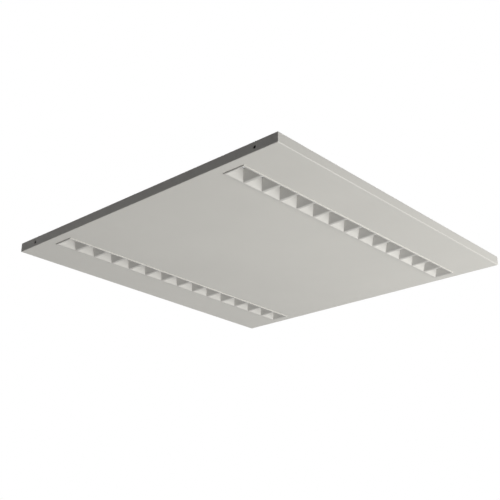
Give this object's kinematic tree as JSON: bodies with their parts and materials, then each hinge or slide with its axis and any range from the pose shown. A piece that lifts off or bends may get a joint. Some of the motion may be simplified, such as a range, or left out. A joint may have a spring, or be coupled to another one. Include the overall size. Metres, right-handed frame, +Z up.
{
  "type": "surface mounted office luminaire",
  "caption": "Flat square ceiling luminaire: folded white tray with louvred reflector rows, hinged down from an inset ceiling pan that hides the gear.",
  "frame": {"origin": "centre of the four ceiling pads, on the plane that meets the ceiling", "axes": "+Z up into the ceiling, +X along the louvre rows towards the hinge, +Y across the rows"},
  "size_m": [0.598, 0.598, 0.0497],
  "materials": {
    "tray_white": "fine satin powder coat, white",
    "pan_white": "fine satin powder coat, white",
    "galvanised_steel": "dull zinc coated sheet",
    "zinc_steel": "bright zinc plated",
    "spring_steel": "smooth tempered strip",
    "louvre_white": "satin white moulding",
    "lens_clear": "clear polished",
    "board_white": "white solder mask",
    "diode_yellow": "yellow phosphor",
    "connector_white": "smooth moulding",
    "rubber_black": "soft matt",
    "driver_white": "smooth moulding",
    "circuit_green": "green solder mask",
    "component_dark": "smooth",
    "terminal_grey": "smooth moulding",
    "button_orange": "smooth moulding",
    "contact_brass": "tinned strip",
    "lead_brown": "smooth insulation",
    "lead_blue": "smooth insulation",
    "lead_green": "green insulation with a yellow stripe",
    "lead_red": "smooth insulation",
    "lead_black": "smooth insulation",
    "clip_natural": "natural nylon"
  },
  "bodies": {
    "ceiling_base": {"ceiling_pan": "pan_white", "cable_grommet": "rubber_black", "hinge_arm_left": "zinc_steel", "hinge_arm_right": "zinc_steel", "hinge_arm_rivets": "zinc_steel", "catch_springs": "spring_steel", "catch_spring_rivets": "zinc_steel"},
    "light_panel": {"front_tray": "tray_white", "back_plate": "galvanised_steel", "back_plate_screws": "zinc_steel", "louvre_left": "louvre_white", "louvre_right": "louvre_white", "lenses_left": "lens_clear", "lenses_right": "lens_clear", "diodes_left": "diode_yellow", "diodes_right": "diode_yellow", "diode_board_left": "board_white", "diode_board_right": "board_white", "board_connector_left": "connector_white", "board_connector_right": "connector_white", "board_screws": "zinc_steel", "hinge_clevis_left": "zinc_steel", "hinge_clevis_right": "zinc_steel", "clevis_rivets": "zinc_steel", "hinge_pins": "zinc_steel", "hinge_pin_clips": "spring_steel", "catch_studs": "zinc_steel", "driver_base": "galvanised_steel", "driver_cover": "driver_white", "driver_circuit_board": "circuit_green", "driver_components": "component_dark", "driver_input_terminal": "terminal_grey", "driver_output_terminal": "terminal_grey", "driver_screws": "zinc_steel", "terminal_block": "terminal_grey", "terminal_contacts": "contact_brass", "terminal_block_screws": "zinc_steel", "lead_line": "lead_brown", "lead_neutral": "lead_blue", "lead_earth": "lead_green", "diode_leads_positive": "lead_red", "diode_leads_negative": "lead_black", "lead_bushes": "rubber_black", "lead_clips": "clip_natural", "earth_ring": "contact_brass", "earth_screw": "zinc_steel"},
    "button_line": {"release_button_line": "button_orange"},
    "button_neutral": {"release_button_neutral": "button_orange"},
    "button_earth": {"release_button_earth": "button_orange"}
  },
  "joints": [
    {"name": "panel_hinge", "type": "hinge", "parent": "ceiling_base", "child": "light_panel", "pos_m": [0.288, 0, -0.0247], "axis": [0, -1, 0], "range_deg": [0, 90], "deforming": ["catch_springs"]},
    {"name": "button_line_press", "type": "slide", "parent": "light_panel", "child": "button_line", "axis": [0, 0, -1], "range_m": [0, 0.0015], "stiffness_N_per_m": 1200},
    {"name": "button_neutral_press", "type": "slide", "parent": "light_panel", "child": "button_neutral", "axis": [0, 0, -1], "range_m": [0, 0.0015], "stiffness_N_per_m": 1200},
    {"name": "button_earth_press", "type": "slide", "parent": "light_panel", "child": "button_earth", "axis": [0, 0, -1], "range_m": [0, 0.0015], "stiffness_N_per_m": 1200}
  ]
}
